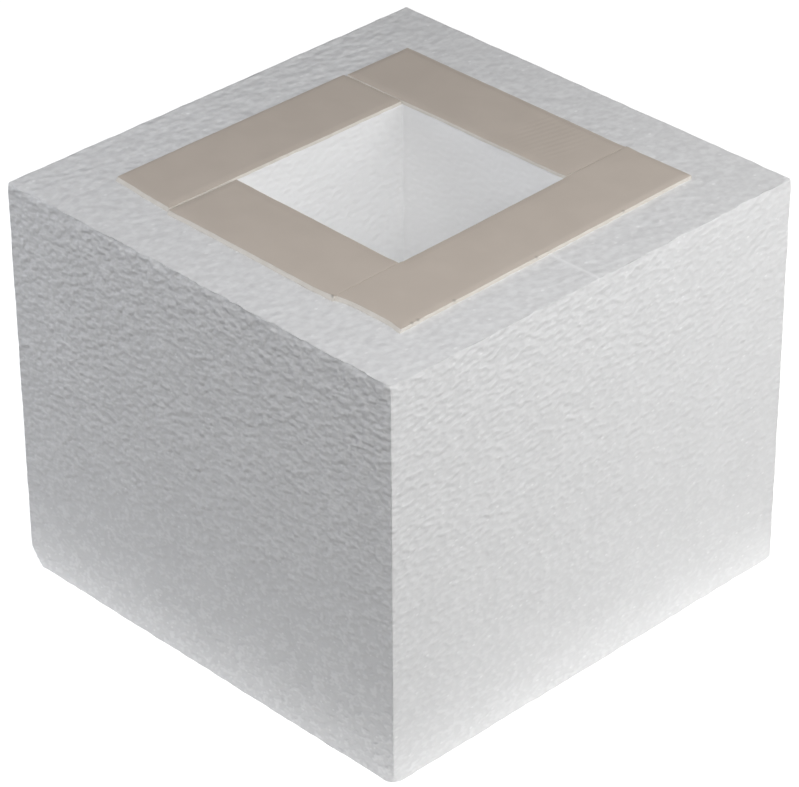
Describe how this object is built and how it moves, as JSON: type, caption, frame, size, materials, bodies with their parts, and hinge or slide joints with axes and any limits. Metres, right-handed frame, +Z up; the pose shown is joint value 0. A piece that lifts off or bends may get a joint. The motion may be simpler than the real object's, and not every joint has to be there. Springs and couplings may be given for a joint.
{
  "type": "foam block with adhesive frame",
  "caption": "White expanded polystyrene block with a square passage cut right through it, its top mouth framed by strips of double-sided foam tape with the release liner still on.",
  "frame": {"origin": "middle of the block's underside", "axes": "+Z up through the passage; +X towards the side that the wire's entry kerf is in; +Y along the block's slightly longer side"},
  "size_m": [0.24, 0.245, 0.202],
  "materials": {
    "foam": "expanded polystyrene, hot-wire cut, fine wrinkled bead texture, matt",
    "tape_core": "closed-cell foam tape, ivory, matt",
    "liner": "release paper, beige-grey, smooth and faintly satin"
  },
  "bodies": {
    "root": {"foam_block": "foam", "tape_right": "tape_core", "tape_back": "tape_core", "tape_left": "tape_core", "tape_front": "tape_core", "liner_right": "liner", "liner_back": "liner", "liner_left": "liner", "liner_front": "liner"}
  },
  "joints": []
}
